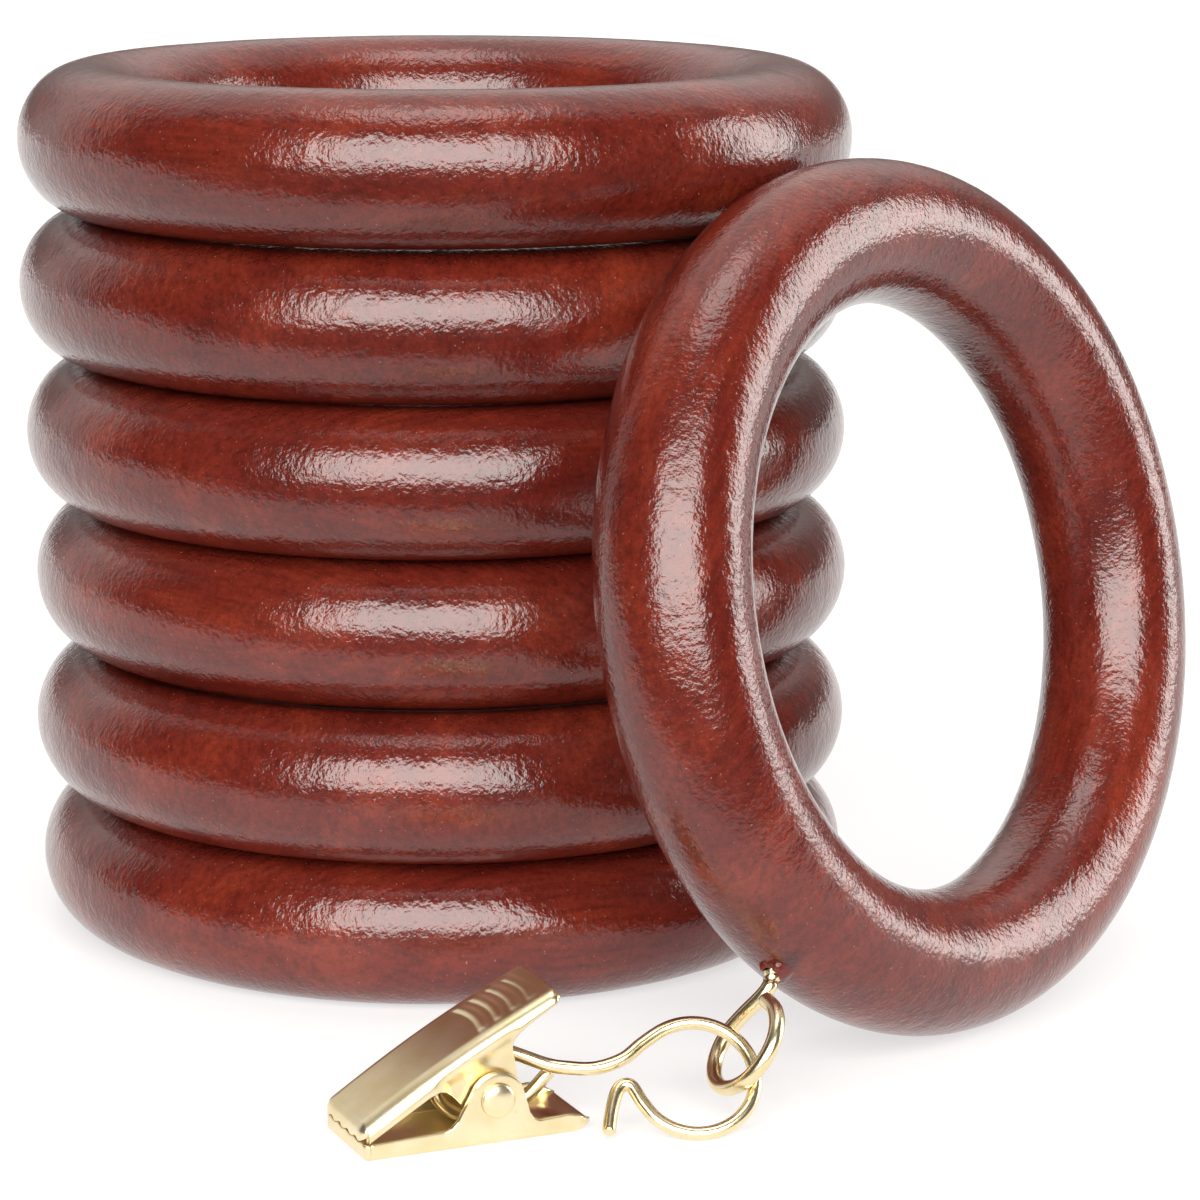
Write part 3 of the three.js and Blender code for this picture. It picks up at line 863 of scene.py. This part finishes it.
def floor():
    """A lit white table, dark towards the viewer, where the varnish would show it as a pale band."""
    corners = [(x * FLOOR_REACH, y * FLOOR_REACH, 0) for x, y in ((-1, -1), (1, -1), (1, 1), (-1, 1))]
    mesh = bpy.data.meshes.new("floor")
    mesh.from_pydata(corners, [], [(0, 1, 2, 3)])
    material, nodes, links, shader = new_material("white_floor")
    parts = nodes.new("ShaderNodeSeparateXYZ")
    links.new(nodes.new("ShaderNodeTexCoord").outputs["Object"], parts.inputs["Vector"])
    fades = (("Base Color", FLOOR_DARK, FLOOR_WHITE), ("Emission Strength", 0.0, FLOOR_GLOW))
    for socket, dark, white in fades:
        fade = nodes.new("ShaderNodeMapRange")
        fade.interpolation_type = "SMOOTHSTEP"
        links.new(parts.outputs["Y"], fade.inputs["Value"])
        fade.inputs["From Min"].default_value = FLOOR_DARK_TO
        fade.inputs["From Max"].default_value = FLOOR_WHITE_FROM
        fade.inputs["To Min"].default_value = dark
        fade.inputs["To Max"].default_value = white
        links.new(fade.outputs["Result"], shader.inputs[socket])
    shader.inputs["Roughness"].default_value = FLOOR_ROUGHNESS
    shader.inputs["Specular IOR Level"].default_value = FLOOR_SPECULAR
    shader.inputs["Emission Color"].default_value = (1, 1, 1, 1)
    mesh.materials.append(material)
    piece = bpy.data.objects.new("floor", mesh)
    bpy.context.scene.collection.objects.link(piece)


# Softboxes on the studio's far walls: the heading of the middle, from the front of the object, and its
# height, half the width and half the height, the width of the soft edge, all in degrees, and strength.
SOFTBOXES = [
    (-3, 27, 30, 15, 8, 8.2),
    (101, 14, 9, 16, 6, 7.0),
    (-125, 12, 12, 16, 12, 0.6),
]
# Round lights above and behind: direction, the half angles where each is full and ends, and strength.
ROUND_LIGHTS = [
    ((0, -0.03, 1), 9, 18, 3.2),
    ((0, 0.5, 0.8), 22, 55, 0.8),
    ((0, 1, 0), 15, 90, 0.16),
]
ROOM_FRONT = 0.05
WARM_WHITE = (1, 0.965, 0.93, 1)


def studio():
    """A dark room with soft-edged lights, all far away, so that they light the floor evenly."""
    world = bpy.data.worlds.new("studio")
    world.use_nodes = True
    nodes, links = world.node_tree.nodes, world.node_tree.links
    way = nodes.new("ShaderNodeTexCoord").outputs["Generated"]

    def calculated(operation, *values):
        """A maths node over sockets or numbers."""
        node = nodes.new("ShaderNodeMath")
        node.operation = operation
        for socket, value in zip(node.inputs, values):
            if isinstance(value, (int, float)):
                socket.default_value = value
            else:
                links.new(value, socket)
        return node.outputs["Value"]

    def fading(value, full, ends, strength):
        """Strength where value is full, falling smoothly to nothing where it reaches ends."""
        fade = nodes.new("ShaderNodeMapRange")
        fade.interpolation_type = "SMOOTHERSTEP"
        links.new(value, fade.inputs["Value"])
        fade.inputs["From Min"].default_value = ends
        fade.inputs["From Max"].default_value = full
        fade.inputs["To Max"].default_value = strength
        return fade.outputs["Result"]

    parts = nodes.new("ShaderNodeSeparateXYZ")
    links.new(way, parts.inputs["Vector"])
    heading_at = calculated("ARCTAN2", parts.outputs["X"], calculated("MULTIPLY", parts.outputs["Y"], -1))
    height_at = calculated("ARCSINE", parts.outputs["Z"])

    total = ROOM_FRONT
    for heading, height, half_width, half_height, edge, strength in SOFTBOXES:
        off_heading = calculated("ABSOLUTE", calculated("SUBTRACT", heading_at, radians(heading)))
        off_height = calculated("ABSOLUTE", calculated("SUBTRACT", height_at, radians(height)))
        wide = fading(off_heading, radians(half_width), radians(half_width + edge), strength)
        tall = fading(off_height, radians(half_height), radians(half_height + edge), 1.0)
        total = calculated("ADD", calculated("MULTIPLY", wide, tall), total)
    for direction, full, ends, strength in ROUND_LIGHTS:
        dot = nodes.new("ShaderNodeVectorMath")
        dot.operation = "DOT_PRODUCT"
        dot.inputs[1].default_value = Vector(direction).normalized()
        links.new(way, dot.inputs[0])
        light = fading(dot.outputs["Value"], cos(radians(full)), cos(radians(ends)), strength)
        total = calculated("ADD", light, total)
    nodes["Background"].inputs["Color"].default_value = WARM_WHITE
    links.new(total, nodes["Background"].inputs["Strength"])
    bpy.context.scene.world = world


CAMERA_PLACE = (-0.01567, -0.36201, 0.10986)
CAMERA_PITCH = 12.74
CAMERA_YAW = 1.933
CAMERA_LENS = 122.57
CAMERA_SHIFT = (0.026, 0.050)
CAMERA_NEAR = 0.01


def camera():
    data = bpy.data.cameras.new("camera")
    data.lens = CAMERA_LENS
    data.shift_x, data.shift_y = CAMERA_SHIFT
    data.clip_start = CAMERA_NEAR
    piece = bpy.data.objects.new("camera", data)
    piece.location = CAMERA_PLACE
    piece.rotation_euler = (radians(90 - CAMERA_PITCH), 0, radians(-CAMERA_YAW))
    bpy.context.scene.collection.objects.link(piece)
    bpy.context.scene.camera = piece


camera()
floor()
studio()
stacked_rings()
ring_place = clip_ring()
screw_eye(ring_place)
varnish_burr(ring_place)
clip_frame = clip_place()
lower_jaw(clip_frame)
upper_jaw(clip_frame)
rivet(clip_frame)
hook_wire(clip_frame)
bpy.context.scene.view_settings.view_transform = "Standard"
